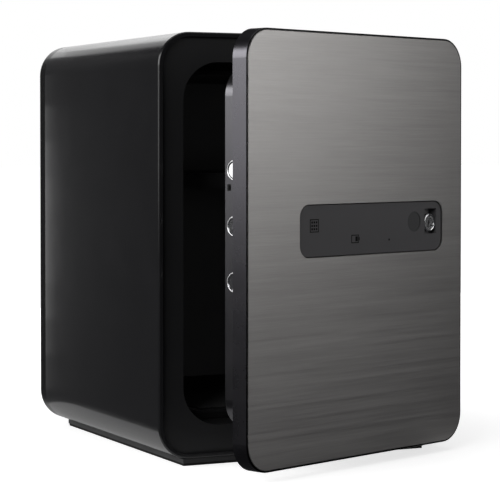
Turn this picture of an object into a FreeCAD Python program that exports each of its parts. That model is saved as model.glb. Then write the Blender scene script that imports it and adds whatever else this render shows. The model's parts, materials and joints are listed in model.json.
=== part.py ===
import FreeCAD, Part
import math
import os
import Sketcher

from FreeCAD import Placement, Rotation, Vector

# Electronic safe with a side-hinged plug door, in millimetres.
# Frame: +Z up, the front faces -Y, the origin is at the centre of the base's underside.
# Every door piece is built with the door shut, and its Placement then turns it about the hinge
# axis to the resting angle, where the door stands ajar.

DRIVING_SIZES = {
    # body
    "body_width": 382, "body_depth": 403, "body_height": 500, "base_height": 8, "body_corner": 39,
    "shell_sheet": 3, "lip_width": 5.5, "lip_round": 2.2, "frame_recess": 5,
    "rear_depth": 25, "rear_gap": 0.5, "rear_round": 8,
    "cover_screw_x": 160, "cover_screw_low": 49, "cover_screw_high": 459,
    "base_width": 320, "base_front": 200.5, "base_back": 174, "pad_height": 3,
    # front frame and inner liner
    "opening_width": 316, "opening_bottom": 45, "opening_top": 466, "opening_corner": 45,
    "frame_sheet": 3, "rebate_sheet": 2.5, "rebate_depth": 50,
    "liner_width": 292, "liner_bottom": 55.5, "liner_top": 453, "liner_corner": 33,
    "liner_sheet": 2, "liner_back": 165, "mat_height": 2.5, "fill_gap": 0.6,
    "shelf_top": 336, "shelf_sheet": 2, "shelf_lip": 18, "shelf_front": 100, "shelf_play": 1.5,
    "peg_radius": 4, "peg_length": 14,
    # anchor holes
    "anchor_radius": 6, "sleeve_wall": 3, "floor_anchor_x": 100, "floor_anchor_y": 80,
    "floor_anchor_centre": 20, "wall_anchor_x": 100, "wall_anchor_z": 400,
    # door
    "rest_angle": 21.05, "hinge_out": 8, "door_gap": 1, "door_thick": 21, "door_width": 381,
    "door_bottom": 12, "door_top": 497.5, "door_corner": 33.5, "door_sheet": 3, "rim_width": 2,
    "rim_recess": 0.3, "plate_sheet": 2.2, "plate_play": 0.2, "plate_round": 0.6,
    "plate_bevel": 0.5, "door_round": 1.2,
    "pan_sheet": 2, "pan_flange": 2.5, "plug_width": 309, "plug_bottom": 52.5, "plug_top": 458,
    "plug_corner": 34, "plug_depth": 47, "plug_round": 1.5, "pan_round": 0.8,
    "service_width": 176, "service_height": 196, "service_corner": 8, "service_x": -20,
    "service_z": 291.3,
    # locking bolts and their drive
    "bolt_radius": 10, "bolt_length": 56, "bolt_inset": 0.4, "bolt_chamfer": 1.2, "tail_radius": 6,
    "bolt_spacing": 62.2, "bolt_middle": 279.8, "bolt_behind_front": 52.6,
    "bush_wall": 1.4, "running_gap": 0.05, "strike_play": 2, "carriage_sheet": 6,
    "gear_module": 1, "pinion_teeth": 16, "pinion_x": 57, "rack_tip": 190, "rack_height": 10,
    "motor_radius": 12,
    # control panel
    "panel_width": 255, "panel_height": 58, "panel_corner": 13.8, "panel_x": 23.85,
    "panel_z": 273.8, "panel_recess": 1.5, "panel_gap": 0.6, "panel_wall": 2.5, "panel_depth": 9,
    "window_x": 131.05, "window_z": 279.35, "window_width": 22.3, "window_height": 30,
    "window_depth": 8, "lock_radius": 10.6, "lock_z": 277.5, "lock_recess": 3.4,
    "key_radius": 6.5, "sensor_x": 100.4, "sensor_z": 279.7, "sensor_radius": 12,
    # small parts of the door
    "switch_z": 322.8, "switch_behind_front": 60.6, "battery_radius": 7.1, "battery_pitch": 14.7,
    "battery_x": 40, "battery_z": 116, "battery_length": 50, "reset_x": 101, "reset_z": 226,
    "cover_play": 0.3,
    # hinges
    "hinge_low": 110, "hinge_high": 390, "barrel_radius": 6, "pin_radius": 3, "knuckle_height": 30,
    "leaf_sheet": 3, "leaf_depth": 42, "door_leaf_sheet": 2.5, "web_sheet": 4, "screw_radius": 2,
}


class Size:
    """A number in millimetres and the spreadsheet formula that gives it."""

    def __init__(self, number, formula=None):
        self.number = float(number)
        self.formula = formula or repr(float(number))

    def joined(self, sign, other, number):
        return Size(number, f"({self.formula} {sign} {other.formula})")

    def __add__(self, other):
        other = as_size(other)
        return self.joined("+", other, self.number + other.number)

    def __sub__(self, other):
        other = as_size(other)
        return self.joined("-", other, self.number - other.number)

    def __mul__(self, other):
        other = as_size(other)
        return self.joined("*", other, self.number * other.number)

    def __truediv__(self, other):
        other = as_size(other)
        return self.joined("/", other, self.number / other.number)

    def __radd__(self, other):
        return as_size(other) + self

    def __rsub__(self, other):
        return as_size(other) - self

    def __rmul__(self, other):
        return as_size(other) * self

    def __neg__(self):
        return as_size(0) - self


def as_size(value):
    return value if isinstance(value, Size) else Size(value)


class Outline:
    """A rounded rectangle seen from the front: its size, corner radius and centre."""

    def __init__(self, width, height, corner, centre_z, centre_x=0):
        self.width = as_size(width)
        self.height = as_size(height)
        self.corner = as_size(corner)
        self.centre_x = as_size(centre_x)
        self.centre_z = as_size(centre_z)

    def inset(self, distance):
        return Outline(
            self.width - 2 * as_size(distance),
            self.height - 2 * as_size(distance),
            self.corner - distance,
            self.centre_z,
            self.centre_x,
        )


doc = FreeCAD.newDocument("electronic_safe")
sheet = doc.addObject("Spreadsheet::Sheet", "sizes")
for row, (alias, value) in enumerate(DRIVING_SIZES.items(), start=1):
    sheet.set(f"A{row}", alias)
    sheet.set(f"B{row}", str(value))
    sheet.setAlias(f"B{row}", alias)
doc.recompute()


class Sizes:
    """Gives each spreadsheet cell by its alias, as a Size."""

    def __getattr__(self, alias):
        return Size(DRIVING_SIZES[alias], f"sizes.{alias}")


S = Sizes()
sub_parts = []

# ---------------------------------------------------------------- helpers


def bind(part, path, size):
    part.setExpression(path, as_size(size).formula)


def bind_base(part, x=0, y=0, z=0):
    for axis, size in (("x", x), ("y", y), ("z", z)):
        bind(part, f"Placement.Base.{axis}", size)


def fresh_name(label):
    """The next unused document name for a construction object of a sub-part."""
    fresh_name.count += 1
    return f"{label}_{fresh_name.count}"


fresh_name.count = 0


def box(x, y, z):
    """A box between pairs of coordinates along X, Y and Z."""
    part = doc.addObject("Part::Box", fresh_name("box"))
    bind(part, "Length", as_size(x[1]) - x[0])
    bind(part, "Width", as_size(y[1]) - y[0])
    bind(part, "Height", as_size(z[1]) - z[0])
    bind_base(part, x[0], y[0], z[0])
    return part


TURNS = {
    "x": Rotation(Vector(0, 1, 0), 90),
    "y": Rotation(Vector(1, 0, 0), -90),
    "z": Rotation(),
}


def rod(axis, start, end, radius, x=0, y=0, z=0):
    """A cylinder along an axis, from start to end; the other two coordinates are its centre."""
    part = doc.addObject("Part::Cylinder", fresh_name("rod"))
    part.Placement = Placement(Vector(), TURNS[axis])
    bind(part, "Radius", radius)
    bind(part, "Height", as_size(end) - start)
    centre = {"x": x, "y": y, "z": z, axis: start}
    bind_base(part, **centre)
    return part


def origin_plane(body, role):
    return next(f for f in body.Origin.OriginFeatures if f.Role == role)


def front_sketch(body):
    """An empty sketch on the body's XZ plane, whose own x and y run along X and Z."""
    sketch = body.newObject("Sketcher::SketchObject", fresh_name("outline"))
    sketch.AttachmentSupport = [(origin_plane(body, "XZ_Plane"), "")]
    sketch.MapMode = "FlatFace"
    return sketch


def rounded_sketch(body, outline, origin_x, origin_z):
    """A rounded rectangle whose four sides are held at set distances from the sketch's origin."""
    right = outline.centre_x - origin_x + outline.width / 2
    left = origin_x - outline.centre_x + outline.width / 2
    top = outline.centre_z - origin_z + outline.height / 2
    bottom = origin_z - outline.centre_z + outline.height / 2
    r = outline.corner.number
    x0, x1, z0, z1 = -left.number, right.number, -bottom.number, top.number
    sides = [
        ((x0 + r, z0), (x1 - r, z0)),
        ((x1, z0 + r), (x1, z1 - r)),
        ((x1 - r, z1), (x0 + r, z1)),
        ((x0, z1 - r), (x0, z0 + r)),
    ]
    corners = [(x1 - r, z0 + r), (x1 - r, z1 - r), (x0 + r, z1 - r), (x0 + r, z0 + r)]
    sketch = front_sketch(body)
    for quarter, (side, corner) in enumerate(zip(sides, corners)):
        sketch.addGeometry(Part.LineSegment(Vector(*side[0], 0), Vector(*side[1], 0)))
        circle = Part.Circle(Vector(*corner, 0), Vector(0, 0, 1), r)
        start = (quarter - 1) * math.pi / 2
        sketch.addGeometry(Part.ArcOfCircle(circle, start, start + math.pi / 2))
    for index in range(8):
        sketch.addConstraint(Sketcher.Constraint("Tangent", index, 2, (index + 1) % 8, 1))
    for index, kind in ((0, "Horizontal"), (2, "Vertical"), (4, "Horizontal"), (6, "Vertical")):
        sketch.addConstraint(Sketcher.Constraint(kind, index))
    for index in (3, 5, 7):
        sketch.addConstraint(Sketcher.Constraint("Equal", 1, index))
    held = (
        ("corner", Sketcher.Constraint("Radius", 1, r), outline.corner),
        ("right", Sketcher.Constraint("DistanceX", -1, 1, 2, 1, x1), right),
        ("left", Sketcher.Constraint("DistanceX", 6, 1, -1, 1, -x0), left),
        ("top", Sketcher.Constraint("DistanceY", -1, 1, 4, 1, z1), top),
        ("bottom", Sketcher.Constraint("DistanceY", 0, 1, -1, 1, -z0), bottom),
    )
    for name, constraint, size in held:
        sketch.renameConstraint(sketch.addConstraint(constraint), name)
        bind(sketch, f"Constraints.{name}", size)
    return sketch


def end_edges(shape, y):
    """Names of the edges that lie in the plane at this y."""
    return [
        f"Edge{number}"
        for number, edge in enumerate(shape.Edges, start=1)
        if all(abs(vertex.Y - y) < 1e-6 for vertex in edge.Vertexes)
    ]


def dress_end(body, kind, amount, y, edges=None):
    """Fillets or chamfers the edges of the body's tip at one end."""
    doc.recompute()
    tip = body.Tip
    dressed = body.newObject(f"PartDesign::{kind}", fresh_name(kind.lower()))
    dressed.Base = (tip, edges or end_edges(tip.Shape, y))
    bind(dressed, "Radius" if kind == "Fillet" else "Size", amount)


def rounded_block(outline, front, back, front_round=None, back_round=None):
    """A block of this outline from y = front to y = back, its ends rounded where asked."""
    front, back = as_size(front), as_size(back)
    body = doc.addObject("PartDesign::Body", fresh_name("block"))
    pad = body.newObject("PartDesign::Pad", fresh_name("pad"))
    pad.Profile = rounded_sketch(body, outline, outline.centre_x, outline.centre_z)
    pad.Reversed = True
    bind(pad, "Length", back - front)
    if front_round is not None:
        dress_end(body, "Fillet", front_round, 0)
    if back_round is not None:
        dress_end(body, "Fillet", back_round, (back - front).number)
    bind_base(body, outline.centre_x, front, outline.centre_z)
    return body


def fuse(*shapes):
    if len(shapes) == 1:
        return shapes[0]
    part = doc.addObject("Part::MultiFuse", fresh_name("fuse"))
    part.Shapes = list(shapes)
    return part


def cut(base, *tools):
    part = doc.addObject("Part::Cut", fresh_name("cut"))
    part.Base = base
    part.Tool = fuse(*tools)
    return part


def sub_part(label, *solids):
    """Groups the solids of one sub-part of the body under the name of its file."""
    part = doc.addObject("Part::Compound", label)
    part.Label = label
    part.Links = list(solids)
    sub_parts.append(part)
    return part


def door_part(label, *solids):
    """A sub-part that hangs on the door, turned about the hinge axis to the resting angle."""
    part = sub_part(label, *solids)
    part.Placement = Placement(Vector(), Rotation(Vector(0, 0, 1), S.rest_angle.number))
    cosine = Size(math.cos(math.radians(S.rest_angle.number)), "cos(sizes.rest_angle * 1 deg)")
    sine = Size(math.sin(math.radians(S.rest_angle.number)), "sin(sizes.rest_angle * 1 deg)")
    bind_base(
        part,
        hinge_x - (hinge_x * cosine - hinge_y * sine),
        hinge_y - (hinge_x * sine + hinge_y * cosine),
    )
    part.setExpression("Placement.Rotation.Angle", "sizes.rest_angle * 1 deg")
    return part


# ---------------------------------------------------------------- places shared by the pieces

body_front = -(S.body_depth / 2)
body_back = S.body_depth / 2
body_side = S.body_width / 2
shell_back = body_back - S.rear_depth - S.rear_gap
frame_face = body_front + S.frame_recess
rebate_back = frame_face + S.rebate_depth
body_outline = Outline(
    S.body_width,
    S.body_height - S.base_height,
    S.body_corner,
    (S.body_height + S.base_height) / 2,
)
opening = Outline(
    S.opening_width,
    S.opening_top - S.opening_bottom,
    S.opening_corner,
    (S.opening_top + S.opening_bottom) / 2,
)
liner = Outline(
    S.liner_width,
    S.liner_top - S.liner_bottom,
    S.liner_corner,
    (S.liner_top + S.liner_bottom) / 2,
)

hinge_x = body_side + S.hinge_out
hinge_y = body_front
door_back = body_front - S.door_gap
door_front = door_back - S.door_thick
door_outline = Outline(
    S.door_width,
    S.door_top - S.door_bottom,
    S.door_corner,
    (S.door_top + S.door_bottom) / 2,
)
plug = Outline(
    S.plug_width,
    S.plug_top - S.plug_bottom,
    S.plug_corner,
    (S.plug_top + S.plug_bottom) / 2,
)
plug_side = S.plug_width / 2
plug_back = door_back + S.plug_depth
pan_inside = plug_back - S.pan_sheet
bolt_y = door_front + S.bolt_behind_front
bolt_heights = [S.bolt_middle + S.bolt_spacing * step for step in (-1, 0, 1)]
floor_anchors = [
    (S.floor_anchor_x * side, S.floor_anchor_centre + S.floor_anchor_y * end)
    for side in (-1, 1)
    for end in (-1, 1)
]
wall_anchors = [S.wall_anchor_x * side for side in (-1, 1)]
cover_screw_places = [
    (S.cover_screw_x * side, height)
    for side in (-1, 1)
    for height in (S.cover_screw_low, S.cover_screw_high)
]
THROUGH = 1  # how far a cutting tool runs past the face it opens


def anchor_rods(radius, low, high):
    """One upright rod at each floor anchor."""
    return [rod("z", low, high, radius, x=x, y=y) for x, y in floor_anchors]


def wall_rods(radius, front, back):
    """One level rod at each wall anchor."""
    return [rod("y", front, back, radius, x=x, z=S.wall_anchor_z) for x in wall_anchors]


# ---------------------------------------------------------------- body


def make_outer_shell():
    """Wrap-around sheet sleeve whose front edge is hemmed into a rounded lip."""
    sleeve = rounded_block(body_outline, body_front, shell_back, front_round=S.lip_round)
    hollow = rounded_block(body_outline.inset(S.shell_sheet), frame_face, shell_back + THROUGH)
    mouth = rounded_block(
        body_outline.inset(S.lip_width), body_front - THROUGH, frame_face + THROUGH
    )
    holes = anchor_rods(S.anchor_radius, S.base_height - THROUGH, S.base_height + 5)
    screws = [
        rod("x", body_side - 5, body_side + THROUGH, S.screw_radius, y=y, z=z)
        for y, z in body_leaf_screw_places()
    ]
    sub_part("outer_shell", cut(sleeve, hollow, mouth, *holes, *screws))


def make_rear_cover():
    """Shallow dish that closes the sleeve at the back, with four recessed screws."""
    dish = rounded_block(body_outline, body_back - S.rear_depth, body_back, None, S.rear_round)
    hollow = rounded_block(
        body_outline.inset(S.shell_sheet),
        body_back - S.rear_depth - THROUGH,
        body_back - S.shell_sheet,
        None,
        S.rear_round - 2,
    )
    anchors = wall_rods(S.anchor_radius, body_back - 5, body_back + THROUGH)
    seats = []
    screws = []
    for x, z in cover_screw_places:
        seats.append(rod("y", body_back - 1.8, body_back + THROUGH, 5.2, x=x, z=z))
        seats.append(rod("y", body_back - 5, body_back, S.screw_radius + 0.2, x=x, z=z))
        head = rod("y", body_back - 1.8, body_back - 0.1, 5, x=x, z=z)
        shank = rod("y", body_back - 16, body_back - 1.8, S.screw_radius, x=x, z=z)
        slot = box((x - 3, x + 3), (body_back - 0.8, body_back), (z - 0.6, z + 0.6))
        cross = box((x - 0.6, x + 0.6), (body_back - 0.8, body_back), (z - 3, z + 3))
        screws.append(cut(fuse(head, shank), slot, cross))
    sub_part("rear_cover", cut(dish, hollow, *anchors, *seats))
    sub_part("rear_cover_screws", *screws)


def make_front_frame():
    """Flat face round the opening, the rebate that takes the door plug and its inner step."""
    face = rounded_block(
        body_outline.inset(S.shell_sheet + 0.3), frame_face, frame_face + S.frame_sheet
    )
    rebate = rounded_block(opening.inset(-S.rebate_sheet), frame_face + 1, rebate_back)
    well = rounded_block(opening, frame_face - THROUGH, rebate_back - S.frame_sheet)
    mouth = rounded_block(liner, rebate_back - S.frame_sheet - THROUGH, rebate_back + THROUGH)
    opening_side = S.opening_width / 2
    strike_holes = [
        rod(
            "x",
            -opening_side - S.rebate_sheet - THROUGH,
            -opening_side + THROUGH,
            S.bolt_radius + S.strike_play,
            y=bolt_y,
            z=height,
        )
        for height in bolt_heights
    ]
    sub_part("front_frame", cut(fuse(face, rebate), well, mouth, *strike_holes))


def strike_box_block(grow, near_reach=0):
    """The space of the strike box behind the rebate wall, grown by some distance."""
    near = -(S.opening_width / 2) - S.rebate_sheet
    return box(
        (near - 22 - grow, near + near_reach),
        (bolt_y - 15 - grow, bolt_y + 15 + grow),
        (bolt_heights[0] - 20 - grow, bolt_heights[2] + 20 + grow),
    )


def make_strike_box():
    """Steel box behind the rebate wall that the three bolts run into."""
    sub_part("strike_box", cut(strike_box_block(0), strike_box_block(-2, THROUGH)))


def make_inner_liner():
    """Steel box that holds the contents, open at the front."""
    outside = rounded_block(
        liner.inset(-S.liner_sheet), rebate_back, S.liner_back + S.liner_sheet
    )
    inside = rounded_block(liner, rebate_back - THROUGH, S.liner_back)
    floor_holes = anchor_rods(
        S.anchor_radius, S.liner_bottom - S.liner_sheet - THROUGH, S.liner_bottom + THROUGH
    )
    wall_holes = wall_rods(
        S.anchor_radius, S.liner_back - THROUGH, S.liner_back + S.liner_sheet + THROUGH
    )
    sub_part("inner_liner", cut(outside, inside, *floor_holes, *wall_holes))


def make_wall_insulation():
    """Fire-resisting fill between the sleeve and the liner."""
    fill = rounded_block(
        body_outline.inset(S.shell_sheet + S.fill_gap),
        frame_face + S.frame_sheet + S.fill_gap,
        body_back - S.shell_sheet - S.fill_gap,
        None,
        S.rear_round - 2,
    )
    rebate = rounded_block(
        opening.inset(-S.rebate_sheet - S.fill_gap), frame_face, rebate_back + S.fill_gap
    )
    store = rounded_block(
        liner.inset(-S.liner_sheet - S.fill_gap),
        rebate_back - THROUGH,
        S.liner_back + S.liner_sheet + S.fill_gap,
    )
    sleeve_radius = S.anchor_radius + S.sleeve_wall + S.fill_gap
    floor_wells = anchor_rods(sleeve_radius, S.base_height, S.liner_bottom)
    wall_wells = wall_rods(sleeve_radius, S.liner_back, body_back)
    screw_wells = [
        rod("y", body_back - 20, body_back, S.screw_radius + 0.5, x=x, z=z)
        for x, z in cover_screw_places
    ]
    tools = [rebate, store, strike_box_block(S.fill_gap)]
    sub_part("wall_insulation", cut(fill, *tools, *floor_wells, *wall_wells, *screw_wells))


def make_anchor_sleeves():
    """Spacer tubes that keep the insulation out of the anchor holes."""
    outer_radius = S.anchor_radius + S.sleeve_wall
    floor = (S.base_height + S.shell_sheet, S.liner_bottom - S.liner_sheet)
    wall = (S.liner_back + S.liner_sheet, body_back - S.shell_sheet)
    for label, rods, span in (
        ("floor_anchor_sleeves", anchor_rods, floor),
        ("wall_anchor_sleeves", wall_rods, wall),
    ):
        outsides = rods(outer_radius, *span)
        bores = rods(S.anchor_radius, span[0] - THROUGH, span[1] + THROUGH)
        sub_part(label, *[cut(outside, bore) for outside, bore in zip(outsides, bores)])


def make_fire_seal():
    """Heat-swelling strip stuck to the step of the rebate."""
    back = rebate_back - S.frame_sheet
    strip = rounded_block(opening.inset(2), back - 2, back)
    middle = rounded_block(opening.inset(8), back - 2 - THROUGH, back + THROUGH)
    sub_part("fire_seal", cut(strip, middle))


def make_floor_mat():
    """Felt mat on the liner floor, pierced for the floor anchors."""
    half = S.liner_width / 2 - S.liner_corner
    mat = box(
        (-half, half),
        (rebate_back + 3, S.liner_back - 3),
        (S.liner_bottom, S.liner_bottom + S.mat_height),
    )
    holes = anchor_rods(S.anchor_radius, S.liner_bottom - THROUGH, S.liner_bottom + 5)
    sub_part("floor_mat", cut(mat, *holes))


def make_shelf():
    """Pressed shelf with lips along its front and back, resting on four pegs."""
    half = S.liner_width / 2 - S.shelf_play
    back = S.liner_back - 2
    under = S.shelf_top - S.shelf_sheet
    panel = box((-half, half), (-S.shelf_front, back), (under, S.shelf_top))
    front_lip = box(
        (-half, half),
        (-S.shelf_front, S.shelf_sheet - S.shelf_front),
        (S.shelf_top - S.shelf_lip, under),
    )
    back_lip = box((-half, half), (back - S.shelf_sheet, back), (S.shelf_top - 10, under))
    sub_part("shelf", fuse(panel, front_lip, back_lip))
    wall = S.liner_width / 2
    pegs = []
    for y in (-60, 130):
        for start, end in ((-wall, S.peg_length - wall), (wall - S.peg_length, wall)):
            pegs.append(rod("x", start, end, S.peg_radius, y=y, z=under - S.peg_radius))
    sub_part("shelf_pegs", *pegs)


def make_base():
    """Base plate under the sleeve, and the thin rubber pad that the safe stands on."""
    half = S.base_width / 2
    holes = anchor_rods(S.anchor_radius, -THROUGH, S.base_height + THROUGH)
    plate = box((-half, half), (-S.base_front, S.base_back), (S.pad_height, S.base_height))
    sub_part("base_plate", cut(plate, *holes))
    holes = anchor_rods(S.anchor_radius, -THROUGH, S.base_height + THROUGH)
    pad = box((1 - half, half - 1), (1 - S.base_front, S.base_back - 1), (0, S.pad_height))
    sub_part("base_pad", cut(pad, *holes))


# ---------------------------------------------------------------- hinges


def body_leaf_screw_places():
    """Y and Z of the screws through the hinge leaves on the body's side."""
    return [
        (body_front + back, hinge - S.knuckle_height + up)
        for hinge in (S.hinge_low, S.hinge_high)
        for back, up in ((18, 15), (33, 15))
    ]


def door_leaf_screw_places():
    """Y and Z of the screws through the hinge leaves on the door's edge."""
    return [
        (door_back - 10, hinge + up)
        for hinge in (S.hinge_low, S.hinge_high)
        for up in (8, 23)
    ]


def hinge_screws(face, depth, places):
    """Pan-head screws along X whose heads stand on this face."""
    screws = []
    for y, z in places:
        head = rod("x", face, face + 1.5, S.screw_radius * 1.9, y=y, z=z)
        shank = rod("x", face - depth, face, S.screw_radius, y=y, z=z)
        slot = box((face + 0.8, face + 2), (y - 4, y + 4), (z - 0.5, z + 0.5))
        screws.append(cut(fuse(head, shank), slot))
    return screws


def make_hinges():
    """Lift-off barrel hinges: the pin is fast in the lower knuckle and runs in the upper one."""
    body_leaves = []
    door_leaves = []
    pins = []
    leaf_out = body_side + S.leaf_sheet
    door_side = S.door_width / 2
    door_leaf_out = door_side + S.door_leaf_sheet
    for hinge in (S.hinge_low, S.hinge_high):
        low = (hinge - S.knuckle_height, hinge)
        high = (hinge + 0.4, hinge + S.knuckle_height)
        leaf = box((body_side, leaf_out), (body_front, body_front + S.leaf_depth), low)
        web = box((body_side, hinge_x), (body_front, body_front + S.web_sheet), low)
        barrel = rod("z", *low, S.barrel_radius, x=hinge_x, y=hinge_y)
        bore = rod("z", low[0] - 1, low[1] + 1, S.pin_radius, x=hinge_x, y=hinge_y)
        screw_holes = [
            rod("x", body_side - 1, leaf_out + 1, S.screw_radius, y=y, z=z)
            for y, z in body_leaf_screw_places()
        ]
        body_leaves.append(cut(fuse(leaf, web, barrel), bore, *screw_holes))
        leaf = box((door_side, door_leaf_out), (door_front + 5, door_back - 1), high)
        web = box((door_side, hinge_x), (door_back - 1 - S.web_sheet, door_back - 1), high)
        barrel = rod("z", *high, S.barrel_radius, x=hinge_x, y=hinge_y)
        bore_radius = S.pin_radius + S.running_gap
        bore = rod("z", high[0] - 1, high[1] - 2, bore_radius, x=hinge_x, y=hinge_y)
        screw_holes = [
            rod("x", door_side - 1, door_leaf_out + 1, S.screw_radius, y=y, z=z)
            for y, z in door_leaf_screw_places()
        ]
        door_leaves.append(cut(fuse(leaf, web, barrel), bore, *screw_holes))
        pins.append(rod("z", low[0], high[1] - 3, S.pin_radius, x=hinge_x, y=hinge_y))
    sub_part("hinge_body_leaves", *body_leaves)
    sub_part("hinge_pins", *pins)
    sub_part("hinge_body_screws", *hinge_screws(leaf_out, 6.2, body_leaf_screw_places()))
    door_part("hinge_door_leaves", *door_leaves)
    door_part("hinge_door_screws", *hinge_screws(door_leaf_out, 5.4, door_leaf_screw_places()))


# ---------------------------------------------------------------- door

panel = Outline(S.panel_width, S.panel_height, S.panel_corner, S.panel_z, S.panel_x)
plate_back = door_front + S.plate_sheet
panel_face = door_front + S.panel_recess


def make_door_shell():
    """Tray that carries the front plate and gives the door its dark edge."""
    tray = rounded_block(
        door_outline, door_front + S.rim_recess, door_back, front_round=S.door_round
    )
    plate_seat = rounded_block(door_outline.inset(S.rim_width), door_front - 1, plate_back)
    hollow = rounded_block(door_outline.inset(S.door_sheet), plate_back + 2, door_back + 1)
    panel_hole = rounded_block(panel.inset(-S.panel_gap), door_front, plate_back + 3)
    side = S.door_width / 2
    screws = [
        rod("x", side - 5, side + 1, S.screw_radius, y=y, z=z)
        for y, z in door_leaf_screw_places()
    ]
    door_part("door_shell", cut(tray, plate_seat, hollow, panel_hole, *screws))


def make_door_plate():
    """Brushed metal front plate with a bevelled cut-out for the control panel."""
    outline = door_outline.inset(S.rim_width + S.plate_play)
    body = doc.addObject("PartDesign::Body", fresh_name("plate"))
    pad = body.newObject("PartDesign::Pad", fresh_name("pad"))
    pad.Profile = rounded_sketch(body, outline, 0, outline.centre_z)
    pad.Reversed = True
    bind(pad, "Length", S.plate_sheet)
    dress_end(body, "Fillet", S.plate_round, 0)
    doc.recompute()
    solid_volume = body.Shape.Volume
    pocket = body.newObject("PartDesign::Pocket", fresh_name("pocket"))
    cut_out = panel.inset(-S.panel_gap)
    pocket.Profile = rounded_sketch(body, cut_out, 0, outline.centre_z)
    pocket.Type = "ThroughAll"
    doc.recompute()
    cut_out_volume = (panel.width * panel.height * S.plate_sheet).number
    if solid_volume - body.Shape.Volume < 0.9 * cut_out_volume:
        raise RuntimeError("the panel cut-out removed too little")
    rim = [name for name in end_edges(pocket.Shape, 0) if on_cut_out(pocket.Shape, name)]
    dress_end(body, "Chamfer", S.plate_bevel, 0, rim)
    bind_base(body, 0, door_front, outline.centre_z)
    door_part("door_plate", body)


def on_cut_out(plate, name):
    """True for an edge round the panel cut-out of a plate whose origin is at its own centre."""
    limits = plate.getElement(name).BoundBox
    lift = door_outline.centre_z.number - panel.centre_z.number
    reach = panel.height.number / 2 + 2 * S.panel_gap.number
    return abs(limits.ZMax + lift) < reach and abs(limits.ZMin + lift) < reach


service_opening = Outline(
    S.service_width, S.service_height, S.service_corner, S.service_z, S.service_x
)


def make_door_pan():
    """Pressed inner pan: the plug that fills the opening and the flange round it."""
    flange = rounded_block(
        door_outline.inset(S.door_sheet + 0.2), door_back - S.pan_flange, door_back
    )
    block = rounded_block(plug, door_back - S.pan_flange, plug_back, None, S.plug_round)
    hollow = rounded_block(
        plug.inset(S.pan_sheet), door_back - 4, pan_inside, None, S.pan_round
    )
    bush_holes = [
        rod(
            "x",
            -plug_side - 1,
            S.pan_sheet + 1 - plug_side,
            S.bolt_radius + S.running_gap + S.bush_wall,
            y=bolt_y,
            z=height,
        )
        for height in bolt_heights
    ]
    switch_y = door_front + S.switch_behind_front
    switch_hole = box(
        (-plug_side - 1, S.pan_sheet + 1 - plug_side),
        (switch_y - 2.8, switch_y + 2.8),
        (S.switch_z - 3.7, S.switch_z + 3.7),
    )
    battery_hole = box(
        (S.battery_x - 26, S.battery_x + 26),
        (pan_inside - 1, plug_back + 1),
        (S.battery_z - 30, S.battery_z + 30),
    )
    service_hole = rounded_block(service_opening, pan_inside - 1, plug_back + 1)
    reset_hole = rod("y", pan_inside - 1, plug_back + 1, 4.2, x=S.reset_x, z=S.reset_z)
    screw_holes = [
        rod("y", pan_inside - 1, plug_back + 1, 1.5, x=x, z=z)
        for x, z in lock_cover_screw_places()
    ]
    pan = cut(
        fuse(flange, block),
        hollow,
        *bush_holes,
        switch_hole,
        battery_hole,
        service_hole,
        reset_hole,
        *screw_holes,
    )
    door_part("door_pan", fuse(pan, *battery_lugs()))


def lock_cover_screw_places():
    """X and Z of the four screws, just outside the service opening's corners."""
    across = S.service_width / 2 + 8
    up = S.service_height / 2 + 6
    return [
        (S.service_x + side * across, S.service_z + end * up)
        for side in (-1, 1)
        for end in (-1, 1)
    ]


def make_lock_cover():
    """Flat cover over the lock works, held by four screws."""
    plate = rounded_block(service_opening.inset(-12), plug_back, plug_back + 1.5)
    holes = [
        rod("y", plug_back - 1, plug_back + 3, 1.5, x=x, z=z)
        for x, z in lock_cover_screw_places()
    ]
    door_part("lock_cover", cut(plate, *holes))
    screws = []
    for x, z in lock_cover_screw_places():
        head = rod("y", plug_back + 1.5, plug_back + 2.9, 3.2, x=x, z=z)
        shank = rod("y", plug_back - 6, plug_back + 1.5, 1.5, x=x, z=z)
        slot = box((x - 2.2, x + 2.2), (plug_back + 2.2, plug_back + 4), (z - 0.4, z + 0.4))
        cross = box((x - 0.4, x + 0.4), (plug_back + 2.2, plug_back + 4), (z - 2.2, z + 2.2))
        screws.append(cut(fuse(head, shank), slot, cross))
    door_part("lock_cover_screws", *screws)


def make_door_insulation():
    """Fill board inside the tray, cut away behind the control panel."""
    board = rounded_block(
        door_outline.inset(S.door_sheet + S.fill_gap), plate_back + 2, door_back - 4
    )
    pocket = box(
        (S.panel_x - 134, S.panel_x + 134),
        (door_front, door_back),
        (S.panel_z - 36, S.panel_z + 36),
    )
    door_part("door_insulation", cut(board, pocket))


# ---------------------------------------------------------------- control panel


def window_box(front, back, grow=0):
    return box(
        (S.window_x - S.window_width / 2 - grow, S.window_x + S.window_width / 2 + grow),
        (front, back),
        (S.window_z - S.window_height / 2 - grow, S.window_z + S.window_height / 2 + grow),
    )


LIGHT_X, LIGHT_Z, LIGHT_RADIUS = 128, 248.7, 1.6
SYMBOL_HEIGHT = 0.15


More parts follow.
